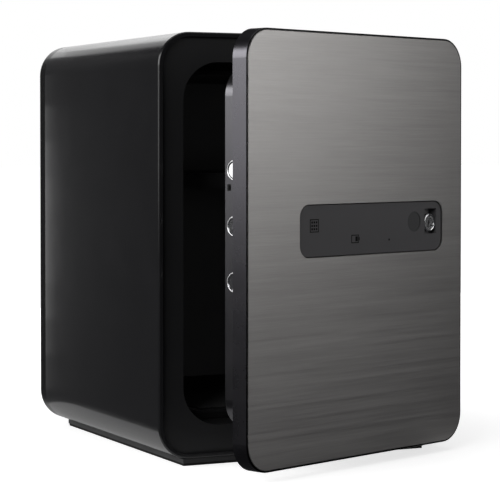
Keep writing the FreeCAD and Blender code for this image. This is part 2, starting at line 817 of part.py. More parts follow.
def make_control_panel():
    """Moulded panel with a recess for the key cylinder and seats for the sensor and light."""
    back = panel_face + S.panel_depth
    face = rounded_block(panel, panel_face, back, front_round=0.5)
    hollow = rounded_block(panel.inset(S.panel_wall), panel_face + S.panel_wall, back + 1)
    cup = window_box(panel_face + 1, panel_face + S.window_depth + 2, 2)
    window = window_box(panel_face - 1, panel_face + S.window_depth)
    lock_hole = rod(
        "y", panel_face, panel_face + 20, S.lock_radius + 0.1, x=S.window_x, z=S.lock_z
    )
    sensor_hole = rod(
        "y", panel_face - 1, panel_face + 5, S.sensor_radius, x=S.sensor_x, z=S.sensor_z
    )
    light_hole = rod("y", panel_face - 1, panel_face + 5, LIGHT_RADIUS, x=LIGHT_X, z=LIGHT_Z)
    shell = cut(face, hollow)
    door_part(
        "control_panel", cut(fuse(shell, cup), window, lock_hole, sensor_hole, light_hole)
    )


def make_fingerprint_sensor():
    """Round touch sensor with a raised ring and a dished middle."""
    disc = rod(
        "y", panel_face - 0.2, panel_face + 6, S.sensor_radius, x=S.sensor_x, z=S.sensor_z
    )
    dish = rod(
        "y", panel_face - 1, panel_face + 0.3, S.sensor_radius - 1.2, x=S.sensor_x, z=S.sensor_z
    )
    door_part("fingerprint_sensor", cut(disc, dish))


def make_status_light():
    """Clear lens over the status lamp."""
    lens = rod("y", panel_face - 0.15, panel_face + 4, LIGHT_RADIUS, x=LIGHT_X, z=LIGHT_Z)
    door_part("status_light", lens)


def make_panel_symbols():
    """Three plain raised touch marks: a keypad square, a battery and a dot."""
    front = panel_face - SYMBOL_HEIGHT
    keypad_x, keypad_z, keypad_half = -78.7, 279.7, 7.4
    marks = []
    outer = box(
        (keypad_x - keypad_half, keypad_x + keypad_half),
        (front, panel_face),
        (keypad_z - keypad_half, keypad_z + keypad_half),
    )
    inner = box(
        (keypad_x - keypad_half + 1, keypad_x + keypad_half - 1),
        (front - 1, panel_face + 1),
        (keypad_z - keypad_half + 1, keypad_z + keypad_half - 1),
    )
    marks.append(cut(outer, inner))
    for column in (-1, 0, 1):
        for level in (-1, 0, 1):
            x, z = keypad_x + 3.8 * column, keypad_z + 3.8 * level
            marks.append(box((x - 1.2, x + 1.2), (front, panel_face), (z - 1.2, z + 1.2)))
    battery_x, battery_z = -7.5, 262.7
    case = box(
        (battery_x - 7.2, battery_x + 6), (front, panel_face), (battery_z - 4.8, battery_z + 4.8)
    )
    room = box(
        (battery_x - 6.2, battery_x + 5),
        (front - 1, panel_face + 1),
        (battery_z - 3.8, battery_z + 3.8),
    )
    marks.append(cut(case, room))
    marks.append(box((battery_x + 6, battery_x + 7.4), (front, panel_face), (260.9, 264.5)))
    marks.append(box((battery_x, battery_x + 4), (front, panel_face), (259.9, 265.5)))
    marks.append(rod("y", front, panel_face, 1.3, x=53.3, z=259.9))
    door_part("panel_symbols", *marks)


def make_key_lock():
    """Key cylinder: housing with its nut, the plug that turns in it and the cam on its end."""
    face = door_front + S.lock_recess
    back = face + 26
    bore_radius = S.key_radius + S.running_gap
    housing = rod("y", face, back, S.lock_radius, x=S.window_x, z=S.lock_z)
    nut_front = panel_face + S.window_depth + 2
    nut = rod("y", nut_front, nut_front + 4, S.lock_radius + 2.6, x=S.window_x, z=S.lock_z)
    bore = rod("y", face - 1, back + 1, bore_radius, x=S.window_x, z=S.lock_z)
    door_part("key_cylinder", cut(fuse(housing, nut), bore))
    plug_body = rod("y", face + 0.4, back + 4, S.key_radius, x=S.window_x, z=S.lock_z)
    keyway = box(
        (S.window_x - 0.9, S.window_x + 0.9), (face - 1, face + 20), (S.lock_z - 4, S.lock_z + 4)
    )
    door_part("key_plug", cut(plug_body, keyway))
    hub = rod("y", back + 0.5, back + 3.5, 9, x=S.window_x, z=S.lock_z)
    arm = box(
        (S.window_x - 5, S.window_x + 5), (back + 0.5, back + 3.5), (S.lock_z - 24, S.lock_z)
    )
    bore = rod("y", back, back + 5, S.key_radius, x=S.window_x, z=S.lock_z)
    door_part("key_cam", cut(fuse(hub, arm), bore))


def make_control_board():
    """Circuit board behind the panel with its larger components."""
    front = panel_face + S.panel_depth + 1
    board = box((-95, 112), (front, front + 1.6), (S.panel_z - 22, S.panel_z + 22))
    chips = [
        box((x, x + width), (front + 1.5, front + 1.6 + tall), (low, low + height))
        for x, width, tall, low, height in (
            (-60, 16, 1.4, 268, 16),
            (-20, 10, 1.2, 282, 8),
            (20, 24, 5, 256, 9),
            (70, 12, 3, 262, 12),
            (-88, 9, 6, 256, 20),
        )
    ]
    door_part("control_board", fuse(board, *chips))


# ---------------------------------------------------------------- locking works


def make_bolt_bushes():
    """Bright bushes pressed into the free edge of the plug, one round each bolt."""
    bore_radius = S.bolt_radius + S.running_gap
    bushes = []
    for height in bolt_heights:
        ring_radius = bore_radius + S.bush_wall
        ring = rod("x", -plug_side - 0.3, 8 - plug_side, ring_radius, y=bolt_y, z=height)
        bore = rod("x", -plug_side - 1, 10 - plug_side, bore_radius, y=bolt_y, z=height)
        bushes.append(cut(ring, bore))
    door_part("bolt_bushes", *bushes)


carriage_left = S.bolt_inset + S.bolt_length - plug_side
carriage_right = carriage_left + S.carriage_sheet
pinion_pitch = S.gear_module * S.pinion_teeth / 2
pinion_z = S.rack_tip + S.gear_module - pinion_pitch


def make_locking_bolts():
    """Three turned bolts with bevelled noses and thinner tails that pass through the carriage."""
    bolts = []
    for height in bolt_heights:
        nose = S.bolt_inset - plug_side
        taper = doc.addObject("Part::Cone", fresh_name("nose"))
        taper.Placement = Placement(Vector(), TURNS["x"])
        bind(taper, "Radius1", S.bolt_radius - S.bolt_chamfer)
        bind(taper, "Radius2", S.bolt_radius)
        bind(taper, "Height", S.bolt_chamfer)
        bind_base(taper, nose, bolt_y, height)
        shank = rod("x", nose + S.bolt_chamfer, carriage_left, S.bolt_radius, y=bolt_y, z=height)
        tail = rod("x", carriage_left, carriage_right + 4, S.tail_radius, y=bolt_y, z=height)
        bolts.append(fuse(taper, shank, tail))
    door_part("locking_bolts", *bolts)


def polygon_pocket(body, points, depth):
    """Cuts a straight-sided pocket towards +Y and returns it."""
    sketch = front_sketch(body)
    for number, point in enumerate(points):
        after = points[(number + 1) % len(points)]
        sketch.addGeometry(Part.LineSegment(Vector(*point, 0), Vector(*after, 0)))
    for number in range(len(points)):
        joined = Sketcher.Constraint("Coincident", number, 2, (number + 1) % len(points), 1)
        sketch.addConstraint(joined)
    pocket = body.newObject("PartDesign::Pocket", fresh_name("gap"))
    pocket.Profile = sketch
    bind(pocket, "Length", depth)
    return sketch, pocket


def checked_pattern(body, kind, pocket, settings):
    """Repeats a pocket and makes sure that the repeats removed material."""
    doc.recompute()
    before = body.Shape.Volume
    pattern = body.newObject(f"PartDesign::{kind}", fresh_name("pattern"))
    pattern.Originals = [pocket]
    for name, setting in settings.items():
        setattr(pattern, name, setting)
    body.Tip = pattern
    doc.recompute()
    if body.Shape.Volume >= before:
        raise RuntimeError(f"{body.Name}: the pattern cut nothing")


RACK_GAPS = 20
BACKLASH = 0.2
PRESSURE_ANGLE = math.radians(20)


def make_rack():
    """Bar with straight-sided teeth on its underside; a gap faces the pinion's top tooth."""
    pitch = math.pi * S.gear_module.number
    addendum = S.gear_module.number
    root = 1.25 * addendum
    body = doc.addObject("PartDesign::Body", fresh_name("rack"))
    pad = body.newObject("PartDesign::Pad", fresh_name("pad"))
    bar = Outline(72, S.rack_height, 0.5, 0)
    pad.Profile = rounded_sketch(body, bar, 0, 0)
    pad.Reversed = True
    pad.Length = 8
    middle = carriage_right.number + 36
    first = -S.pinion_x.number - middle - pitch * (RACK_GAPS // 2)
    tip_z = -S.rack_height.number / 2
    half_at_pitch = pitch / 4 + BACKLASH / 2
    half_root = half_at_pitch - root * math.tan(PRESSURE_ANGLE)
    half_mouth = half_at_pitch + (addendum + 0.5) * math.tan(PRESSURE_ANGLE)
    gap = [
        (first - half_mouth, tip_z - 0.5),
        (first + half_mouth, tip_z - 0.5),
        (first + half_root, tip_z + addendum + root),
        (first - half_root, tip_z + addendum + root),
    ]
    sketch, pocket = polygon_pocket(body, gap, 8)
    settings = {
        "Direction": (sketch, ["H_Axis"]),
        "Length": pitch * (RACK_GAPS - 1),
        "Occurrences": RACK_GAPS,
    }
    checked_pattern(body, "LinearPattern", pocket, settings)
    bind_base(body, carriage_right + 36, bolt_y - 4, S.rack_tip + S.rack_height / 2)
    return body


def make_bolt_carriage():
    """Plate that joins the three bolts, with the rack on its side."""
    half_wide = 8
    plate = box(
        (carriage_left, carriage_right),
        (bolt_y - half_wide, bolt_y + half_wide),
        (S.rack_tip - 2, bolt_heights[2] + 16),
    )
    holes = [
        rod("x", carriage_left - 1, carriage_right + 1, S.tail_radius, y=bolt_y, z=height)
        for height in bolt_heights
    ]
    link = box(
        (carriage_right - 1, carriage_right + 1),
        (bolt_y - 4, bolt_y + 4),
        (S.rack_tip + 3, S.rack_tip + S.rack_height),
    )
    door_part("bolt_carriage", fuse(cut(plate, *holes), link, make_rack()))


def involute_angle(radius, base_radius):
    """Angle between an involute's start and its point at this radius."""
    slope = math.sqrt(max((radius / base_radius) ** 2 - 1, 0))
    return slope - math.atan(slope)


def make_drive_pinion():
    """Involute pinion in mesh with the rack, on the motor's shaft."""
    pitch_radius = pinion_pitch.number
    module = S.gear_module.number
    teeth = int(S.pinion_teeth.number)
    base_radius = pitch_radius * math.cos(PRESSURE_ANGLE)
    half_gap = math.pi / (2 * teeth) + BACKLASH / 2 / pitch_radius
    shift = half_gap - involute_angle(pitch_radius, base_radius)
    outer = pitch_radius + module
    width = 9
    body = doc.addObject("PartDesign::Body", fresh_name("pinion"))
    circle = front_sketch(body)
    circle.addGeometry(Part.Circle(Vector(), Vector(0, 0, 1), outer))
    circle.addConstraint(Sketcher.Constraint("Coincident", 0, 3, -1, 1))
    held = circle.addConstraint(Sketcher.Constraint("Radius", 0, outer))
    circle.renameConstraint(held, "outer")
    bind(circle, "Constraints.outer", pinion_pitch + S.gear_module)
    pad = body.newObject("PartDesign::Pad", fresh_name("pad"))
    pad.Profile = circle
    pad.Reversed = True
    pad.Length = width
    flank_radii = (
        base_radius,
        0.5 * (base_radius + pitch_radius),
        pitch_radius,
        outer - 0.4,
        outer + 0.3,
    )
    profile = [(pitch_radius - 1.25 * module, shift)]
    for radius in flank_radii:
        profile.append((radius, shift + involute_angle(radius, base_radius)))
    middle = math.pi / 2 + math.pi / teeth
    one_side = [(r * math.cos(middle - a), r * math.sin(middle - a)) for r, a in profile]
    other_side = [(r * math.cos(middle + a), r * math.sin(middle + a)) for r, a in profile]
    sketch, pocket = polygon_pocket(body, one_side + other_side[::-1], width)
    settings = {"Axis": (sketch, ["N_Axis"]), "Angle": 360, "Occurrences": teeth}
    checked_pattern(body, "PolarPattern", pocket, settings)
    bind_base(body, -S.pinion_x, bolt_y - width / 2, pinion_z)
    shaft = rod("y", motor_face - 6, bolt_y, 2, x=-S.pinion_x, z=pinion_z)
    door_part("drive_pinion", fuse(body, shaft))


motor_face = bolt_y - 9


def make_motor():
    """Gear motor, and the angled bracket that holds it inside the pan."""
    can = rod("y", door_back - 2, motor_face, S.motor_radius, x=-S.pinion_x, z=pinion_z)
    boss = rod("y", motor_face - 1, motor_face + 1.5, 4, x=-S.pinion_x, z=pinion_z)
    bore = rod("y", motor_face - 8, motor_face + 3, 2.05, x=-S.pinion_x, z=pinion_z)
    door_part("drive_motor", cut(fuse(can, boss), bore))
    left, right = -S.pinion_x - 18, 18 - S.pinion_x
    plate = box((left, right), (motor_face, motor_face + 2), (pinion_z - 17, pinion_z + 13))
    foot = box((left, right), (motor_face, pan_inside), (pinion_z - 19, pinion_z - 17))
    hole = rod("y", motor_face - 1, motor_face + 3, 4.1, x=-S.pinion_x, z=pinion_z)
    door_part("motor_bracket", cut(fuse(plate, foot), hole))


def make_bolt_guide():
    """Upright guide that carries the inner ends of the bolts."""
    left = 29 - plug_side
    span = (bolt_heights[0] - 18, bolt_heights[2] + 18)
    web = box((left, left + 3), (bolt_y - 15, pan_inside), span)
    foot = box((left - 10, left + 1), (pan_inside - 2, pan_inside), span)
    holes = [
        rod("x", left - 1, left + 4, S.bolt_radius + 0.1, y=bolt_y, z=height)
        for height in bolt_heights
    ]
    door_part("bolt_guide", cut(fuse(web, foot), *holes))


# ---------------------------------------------------------------- small door parts


def make_door_switch():
    """Switch in the plug's free edge that tells when the door is shut."""
    y = door_front + S.switch_behind_front
    inner_face = S.pan_sheet - plug_side
    case = box((inner_face, inner_face + 14), (y - 3.2, y + 3.2), (S.switch_z - 6, S.switch_z + 6))
    neck = box(
        (-plug_side, inner_face + 1), (y - 2.8, y + 2.8), (S.switch_z - 3.7, S.switch_z + 3.7)
    )
    well = box(
        (-plug_side - 1, inner_face + 10), (y - 1.6, y + 1.6), (S.switch_z - 2.4, S.switch_z + 2.4)
    )
    door_part("switch_housing", cut(fuse(case, neck), well))
    plunger = box(
        (-plug_side - 1.2, inner_face + 7), (y - 1.5, y + 1.5), (S.switch_z - 2.3, S.switch_z + 2.3)
    )
    door_part("switch_plunger", plunger)


def make_reset_switch():
    """Reset switch inside the pan and its button, which stands out of the pan's back."""
    case = box(
        (S.reset_x - 7, S.reset_x + 7),
        (pan_inside - 12, pan_inside),
        (S.reset_z - 7, S.reset_z + 7),
    )
    well = rod("y", pan_inside - 7.5, pan_inside + 1, 4.2, x=S.reset_x, z=S.reset_z)
    door_part("reset_switch", cut(case, well))
    button = rod("y", pan_inside - 5.5, plug_back + 1.6, 3.9, x=S.reset_x, z=S.reset_z)
    door_part("reset_button", button)


cover_half = 30.5
cover_front = plug_back + S.cover_play
cover_axis_y = plug_back + 2.3
cover_axis_z = S.battery_z - 37


def make_batteries():
    """Four cells in an open tray behind the pan's battery hole."""
    deep = 16.5
    tray = box(
        (S.battery_x - 28, S.battery_x + 28),
        (pan_inside - deep, pan_inside),
        (S.battery_z - 31, S.battery_z + 31),
    )
    room = box(
        (S.battery_x - 26.5, S.battery_x + 26.5),
        (pan_inside - deep + 1.4, pan_inside + 1),
        (S.battery_z - 29.6, S.battery_z + 29.6),
    )
    door_part("battery_holder", cut(tray, room))
    half = S.battery_length / 2
    cells = []
    for step in (-1.5, -0.5, 0.5, 1.5):
        height = S.battery_z + S.battery_pitch * step
        y = pan_inside - deep + 1.5 + S.battery_radius
        side = -1 if step in (-1.5, 0.5) else 1
        can = rod("x", S.battery_x - half, S.battery_x + half, S.battery_radius, y=y, z=height)
        ends = sorted((side * 24, side * 26.2))
        nub = rod("x", S.battery_x + ends[0], S.battery_x + ends[1], 2.7, y=y, z=height)
        cells.append(fuse(can, nub))
    door_part("batteries", *cells)


def battery_lugs():
    """Two ears on the pan that carry the pins of the battery cover."""
    lugs = []
    for low, high in ((-cover_half - 3.5, -cover_half - 0.3), (cover_half + 0.3, cover_half + 3.5)):
        ear = box(
            (S.battery_x + low, S.battery_x + high),
            (plug_back - 1, cover_axis_y + 2.2),
            (cover_axis_z - 2.6, cover_axis_z + 2.6),
        )
        hole = rod(
            "x", S.battery_x + low - 1, S.battery_x + high + 1, 1.25, y=cover_axis_y, z=cover_axis_z
        )
        lugs.append(cut(ear, hole))
    return lugs


def make_battery_cover():
    """Hinged cover over the batteries with a finger ridge at its top."""
    sheet_back = cover_front + 1.8
    plate = box(
        (S.battery_x - cover_half, S.battery_x + cover_half),
        (cover_front, sheet_back),
        (cover_axis_z, S.battery_z + 35),
    )
    barrel = rod(
        "x", S.battery_x - cover_half, S.battery_x + cover_half, 2, y=cover_axis_y, z=cover_axis_z
    )
    pins = rod(
        "x", S.battery_x - cover_half - 3, S.battery_x + cover_half + 3, 1.2,
        y=cover_axis_y, z=cover_axis_z,
    )
    ridge = box(
        (S.battery_x - 12, S.battery_x + 12),
        (sheet_back - 0.5, sheet_back + 2),
        (S.battery_z + 30, S.battery_z + 32),
    )
    door_part("battery_cover", fuse(plate, barrel, pins, ridge))


# ---------------------------------------------------------------- build, check and write

for make in (
    make_outer_shell,
    make_rear_cover,
    make_front_frame,
    make_strike_box,
    make_inner_liner,
    make_wall_insulation,
    make_anchor_sleeves,
    make_fire_seal,
    make_floor_mat,
    make_shelf,
    make_base,
    make_hinges,
    make_door_shell,
    make_door_plate,
    make_door_pan,
    make_lock_cover,
    make_door_insulation,
    make_control_panel,
    make_fingerprint_sensor,
    make_status_light,
    make_panel_symbols,
    make_key_lock,
    make_control_board,
    make_bolt_bushes,
    make_locking_bolts,
    make_bolt_carriage,
    make_drive_pinion,
    make_motor,
    make_bolt_guide,
    make_door_switch,
    make_reset_switch,
    make_batteries,
    make_battery_cover,
):
    make()

doc.recompute()
for part in doc.Objects:
    if "Invalid" in part.State or "Error" in part.State:
        raise RuntimeError(f"{part.Label} failed: {part.State}")
for part in sub_parts:
    if part.Shape.isNull() or not part.Shape.isValid() or not part.Shape.Solids:
        raise RuntimeError(f"{part.Label} has no valid solid")

os.makedirs("parts", exist_ok=True)
for part in sub_parts:
    part.Shape.exportStep(f"parts/{part.Label}.step")
print(f"{len(sub_parts)} sub-parts written")
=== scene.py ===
import json
import math

import bmesh
import bpy
from mathutils import Matrix, Vector


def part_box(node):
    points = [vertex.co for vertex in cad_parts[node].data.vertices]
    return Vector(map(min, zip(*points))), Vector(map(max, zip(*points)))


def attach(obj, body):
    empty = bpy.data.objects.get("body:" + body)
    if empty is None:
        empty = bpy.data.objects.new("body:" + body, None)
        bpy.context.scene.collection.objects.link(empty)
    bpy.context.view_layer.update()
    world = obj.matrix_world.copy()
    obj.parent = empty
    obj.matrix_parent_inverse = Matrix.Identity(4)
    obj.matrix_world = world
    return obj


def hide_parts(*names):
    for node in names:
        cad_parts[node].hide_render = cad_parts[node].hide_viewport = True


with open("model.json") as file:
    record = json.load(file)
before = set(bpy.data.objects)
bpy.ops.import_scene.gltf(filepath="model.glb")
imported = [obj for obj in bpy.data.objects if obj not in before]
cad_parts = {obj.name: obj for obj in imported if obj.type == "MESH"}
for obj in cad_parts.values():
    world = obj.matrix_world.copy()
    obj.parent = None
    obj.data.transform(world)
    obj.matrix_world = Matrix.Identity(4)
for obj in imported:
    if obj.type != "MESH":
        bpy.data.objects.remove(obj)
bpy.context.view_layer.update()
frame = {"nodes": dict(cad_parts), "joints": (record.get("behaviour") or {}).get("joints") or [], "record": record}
NODES = frame["nodes"]
MM = 0.001
REST_ANGLE = 21.05  # how far the door stands open at rest, in degrees
DOOR_FRONT = -223.5 * MM  # the front plate's face with the door shut
HINGE = Vector(next(j["pos_m"] for j in frame["joints"] if j["name"] == "door_hinge"))
BOLT_MIDDLE = 279.8 * MM  # height of the middle bolt
BOLT_SPACING = 62.2 * MM
BOLT_Y = -170.9 * MM  # the bolts' axis, behind the door's front
PLUG_SIDE = -154.5 * MM  # the plug's free edge, which the bolts come out of
KEY_X = 131.05 * MM
KEY_HEIGHT = 277.5 * MM
KEY_RECESS = 3.4 * MM
RING_STEPS = 96


def to_rest(place):
    """A point given with the door shut, where it lies when the door stands at rest."""
    about = Vector((HINGE.x, HINGE.y, 0.0))
    return Matrix.Rotation(math.radians(REST_ANGLE), 4, "Z") @ (Vector(place) - about) + about


# ---------------------------------------------------------------------------
# Node trees


def new_material(name):
    """An empty Principled material: its node tree and its shader node."""
    material = bpy.data.materials.new(name)
    material.use_nodes = True
    tree = material.node_tree
    return material, tree, tree.nodes["Principled BSDF"]


def add_node(tree, kind, **settings):
    node = tree.nodes.new(kind)
    for key, value in settings.items():
        setattr(node, key, value)
    return node


def plug(tree, socket, value):
    """Gives a socket a number or colour, or links another socket to it."""
    if isinstance(value, bpy.types.NodeSocket):
        tree.links.new(value, socket)
    else:
        socket.default_value = value


def object_space(tree, turn=0.0, scale=(1.0, 1.0, 1.0)):
    """Object coordinates in metres, turned about Z by that many degrees and then stretched."""
    place = add_node(tree, "ShaderNodeTexCoord").outputs["Object"]
    turned = add_node(tree, "ShaderNodeMapping", vector_type="POINT")
    plug(tree, turned.inputs["Vector"], place)
    turned.inputs["Rotation"].default_value = (0.0, 0.0, math.radians(turn))
    stretched = add_node(tree, "ShaderNodeMapping", vector_type="POINT")
    plug(tree, stretched.inputs["Vector"], turned.outputs["Vector"])
    stretched.inputs["Scale"].default_value = scale
    return stretched.outputs["Vector"]


def noise(tree, vector, scale, detail=3.0, roughness=0.55):
    node = add_node(tree, "ShaderNodeTexNoise")
    plug(tree, node.inputs["Vector"], vector)
    node.inputs["Scale"].default_value = scale
    node.inputs["Detail"].default_value = detail
    node.inputs["Roughness"].default_value = roughness
    return node.outputs["Fac"]


def spread(tree, value, low, high, start=0.25, end=0.75):
    """Maps a pattern's start..end onto low..high, held at both ends."""
    node = add_node(tree, "ShaderNodeMapRange", clamp=True)
    for key, number in zip(("From Min", "From Max", "To Min", "To Max"), (start, end, low, high)):
        node.inputs[key].default_value = number
    plug(tree, node.inputs["Value"], value)
    return node.outputs["Result"]


def blend_colours(tree, factor, first, second, mode="MIX"):
    node = add_node(tree, "ShaderNodeMix", data_type="RGBA", blend_type=mode)
    plug(tree, node.inputs["Factor"], factor)
    plug(tree, node.inputs["A"], first)
    plug(tree, node.inputs["B"], second)
    return node.outputs["Result"]


def bump(tree, shader, height, distance, under=None):
    """Relief of this depth in metres on the shader's normal, laid over another bump if one is given."""
    node = add_node(tree, "ShaderNodeBump")
    node.inputs["Strength"].default_value = 1.0
    node.inputs["Distance"].default_value = distance
    plug(tree, node.inputs["Height"], height)
    if under is not None:
        plug(tree, node.inputs["Normal"], under)
    plug(tree, shader.inputs["Normal"], node.outputs["Normal"])
    return node.outputs["Normal"]


def shade(colour, amount):
    """The colour made lighter or darker by a factor, as an opaque RGBA value."""
    return tuple(min(1.0, channel * amount) for channel in colour[:3]) + (1.0,)


# ---------------------------------------------------------------------------
# Materials


def coated(name, colour, rough, vary=0.15, patch=9.0, grain=900.0, relief=0.02, metallic=0.0, specular=0.5):
    """Paint, plastic or plain metal: cloudy colour, cloudy gloss and a fine grain in relief (mm)."""
    material, tree, shader = new_material(name)
    place = object_space(tree)
    clouds = noise(tree, place, patch, 4.0)
    fine = noise(tree, place, grain, 2.0)
    dark, light = shade(colour, 1 - vary), shade(colour, 1 + vary)
    tone = blend_colours(tree, spread(tree, clouds, 0.0, 1.0), dark, light)
    specks = spread(tree, fine, 0.0, 0.5, 0.55, 0.75)
    plug(tree, shader.inputs["Base Color"], blend_colours(tree, specks, tone, shade(colour, 1 + 2 * vary)))
    plug(tree, shader.inputs["Roughness"], spread(tree, noise(tree, place, patch * 3, 5.0), *rough))
    shader.inputs["Metallic"].default_value = metallic
    shader.inputs["Specular IOR Level"].default_value = specular
    bump(tree, shader, fine, relief * MM)
    return material


def brushed(name, colour, vary, rough, turn, anisotropy):
    """Metal brushed along its own width: long fine scratches, broader streaks and soft clouds."""
    material, tree, shader = new_material(name)
    scratches = noise(tree, object_space(tree, turn, (14.0, 14.0, 2600.0)), 1.0, 3.0, 0.7)
    streaks = noise(tree, object_space(tree, turn, (5.0, 5.0, 260.0)), 1.0, 4.0, 0.6)
    clouds = noise(tree, object_space(tree, turn, (3.0, 3.0, 9.0)), 1.0, 3.0)
    dark, light, dull = shade(colour, 1 - vary), shade(colour, 1 + vary), (0.30, 0.285, 0.285, 1.0)
    streaky = blend_colours(tree, spread(tree, streaks, 0.0, 1.0), dark, light)
    cloudy = blend_colours(tree, spread(tree, clouds, 0.0, 0.35), streaky, dull)
    fine = spread(tree, scratches, 0.0, 0.45, 0.45, 0.75)
    plug(tree, shader.inputs["Base Color"], blend_colours(tree, fine, cloudy, shade(colour, 1.35)))
    plug(tree, shader.inputs["Roughness"], spread(tree, streaks, *rough))
    shader.inputs["Metallic"].default_value = 1.0
    shader.inputs["Anisotropic"].default_value = anisotropy
    shader.inputs["Anisotropic Rotation"].default_value = 0.25
    bump(tree, shader, scratches, 0.012 * MM)
    return material


def felt(name, colour):
    """Pressed wool felt: matted fibres in relief, lint specks and a soft sheen."""
    material, tree, shader = new_material(name)
    place = object_space(tree)
    matted = noise(tree, place, 420.0, 6.0, 0.7)
    fibres = noise(tree, object_space(tree, 35.0, (1800.0, 240.0, 600.0)), 1.0, 3.0, 0.7)
    tone = blend_colours(tree, spread(tree, matted, 0.0, 1.0), shade(colour, 0.55), shade(colour, 1.5))
    lint = spread(tree, fibres, 0.0, 0.6, 0.6, 0.8)
    plug(tree, shader.inputs["Base Color"], blend_colours(tree, lint, tone, shade(colour, 3.0)))
    plug(tree, shader.inputs["Roughness"], spread(tree, matted, 0.86, 0.98))
    shader.inputs["Specular IOR Level"].default_value = 0.2
    shader.inputs["Sheen Weight"].default_value = 0.06
    shader.inputs["Sheen Roughness"].default_value = 0.6
    soft = bump(tree, shader, matted, 0.6 * MM)
    bump(tree, shader, fibres, 0.25 * MM, under=soft)
    return material


def circuit_board(name):
    """Green solder mask over copper tracks that run square to each other."""
    material, tree, shader = new_material(name)
    cells = add_node(tree, "ShaderNodeTexVoronoi", distance="MANHATTAN", feature="F1")
    plug(tree, cells.inputs["Vector"], object_space(tree, -REST_ANGLE))
    cells.inputs["Scale"].default_value = 260.0
    tracks = spread(tree, cells.outputs["Distance"], 0.0, 1.0, 0.28, 0.34)
    over_copper, bare_mask = (0.02, 0.13, 0.045, 1.0), (0.008, 0.06, 0.02, 1.0)
    plug(tree, shader.inputs["Base Color"], blend_colours(tree, tracks, over_copper, bare_mask))
    shader.inputs["Roughness"].default_value = 0.35
    shader.inputs["Coat Weight"].default_value = 0.4
    bump(tree, shader, tracks, -0.05 * MM)
    return material


FINISHES = {
    "shell_paint": dict(colour=(0.0095, 0.0095, 0.0102), rough=(0.15, 0.19), grain=1400.0, relief=0.0015),
    "frame_paint": dict(colour=(0.017, 0.017, 0.018), rough=(0.40, 0.48), grain=1200.0, relief=0.006),
    "liner_paint": dict(colour=(0.030, 0.030, 0.031), rough=(0.5, 0.6), grain=900.0, relief=0.02),
    "shelf_paint": dict(colour=(0.030, 0.030, 0.031), rough=(0.4, 0.5), grain=900.0, relief=0.01),
    "door_edge_paint": dict(colour=(0.105, 0.102, 0.112), rough=(0.25, 0.30), metallic=1.0, grain=1500.0,
                            relief=0.003, vary=0.06),
    "pan_paint": dict(colour=(0.105, 0.103, 0.110), rough=(0.26, 0.32), metallic=1.0, grain=1500.0,
                      relief=0.004, vary=0.06),
    "cover_plastic": dict(colour=(0.016, 0.016, 0.0165), rough=(0.42, 0.52), grain=1600.0, relief=0.02),
    "panel_plastic": dict(colour=(0.108, 0.105, 0.110), rough=(0.46, 0.54), grain=1800.0, relief=0.006,
                          vary=0.06),
    "panel_marks": dict(colour=(0.003, 0.003, 0.003), rough=(0.5, 0.6), specular=0.15),
    "sensor_gloss": dict(colour=(0.060, 0.060, 0.063), rough=(0.42, 0.48), relief=0.001, vary=0.08),
    "lens": dict(colour=(0.16, 0.16, 0.165), rough=(0.15, 0.2)),
    "bright_chrome": dict(colour=(0.78, 0.78, 0.79), rough=(0.07, 0.12), metallic=1.0, relief=0.001,
                          vary=0.04),
    "zinc_steel": dict(colour=(0.52, 0.52, 0.50), rough=(0.28, 0.4), metallic=1.0, relief=0.006, vary=0.08),
    "hinge_paint": dict(colour=(0.011, 0.011, 0.0115), rough=(0.34, 0.42)),
    "screw_steel": dict(colour=(0.06, 0.06, 0.062), rough=(0.28, 0.36), metallic=1.0),
    "gear_brass": dict(colour=(0.62, 0.44, 0.18), rough=(0.22, 0.34), metallic=1.0, vary=0.08),
    "motor_metal": dict(colour=(0.42, 0.42, 0.43), rough=(0.25, 0.35), metallic=1.0, vary=0.06),
    "switch_black": dict(colour=(0.003, 0.003, 0.003), rough=(0.4, 0.5), specular=0.15),
    "button_red": dict(colour=(0.42, 0.015, 0.012), rough=(0.3, 0.4)),
    "cell_wrap": dict(colour=(0.05, 0.10, 0.22), rough=(0.2, 0.3)),
    "pad_rubber": dict(colour=(0.007, 0.007, 0.007), rough=(0.7, 0.8), grain=800.0, relief=0.03,
                       specular=0.25),
    "fire_fill": dict(colour=(0.42, 0.40, 0.36), rough=(0.85, 0.95), grain=400.0, relief=0.3),
}
MATERIALS = {slot: coated(slot, **finish) for slot, finish in FINISHES.items()}
MATERIALS["brushed_plate"] = brushed(
    "brushed_plate", (0.40, 0.39, 0.38), vary=0.10, rough=(0.34, 0.42), turn=-REST_ANGLE, anisotropy=0.5
)
MATERIALS["mat_felt"] = felt("mat_felt", (0.006, 0.006, 0.0066))
MATERIALS["board_green"] = circuit_board("board_green")


def door_edge():
    """The door tray's satin grey, and painted shade: black on the thin rim round the front plate, for the shadow
    in the gap.
    """
    material = coated("door_tray", **FINISHES["door_edge_paint"])
    tree = material.node_tree
    shader = tree.nodes["Principled BSDF"]
    turned = object_space(tree, -REST_ANGLE)
    parts = add_node(tree, "ShaderNodeSeparateXYZ")
    plug(tree, parts.inputs[0], turned)
    front = (Matrix.Rotation(math.radians(-REST_ANGLE), 4, "Z") @ to_rest((0.0, DOOR_FRONT, 0.0))).y
    # painted shade: the tray turns black within about a millimetre behind the front plate, standing for the shadow
    # in the gap
    rim = spread(tree, parts.outputs["Y"], 1.0, 0.0, front + 0.8 * MM, front + 1.2 * MM)
    grey, black = shader.inputs["Base Color"].links[0].from_socket, (0.012, 0.012, 0.012, 1.0)
    plug(tree, shader.inputs["Base Color"], blend_colours(tree, rim, grey, black))
    return material


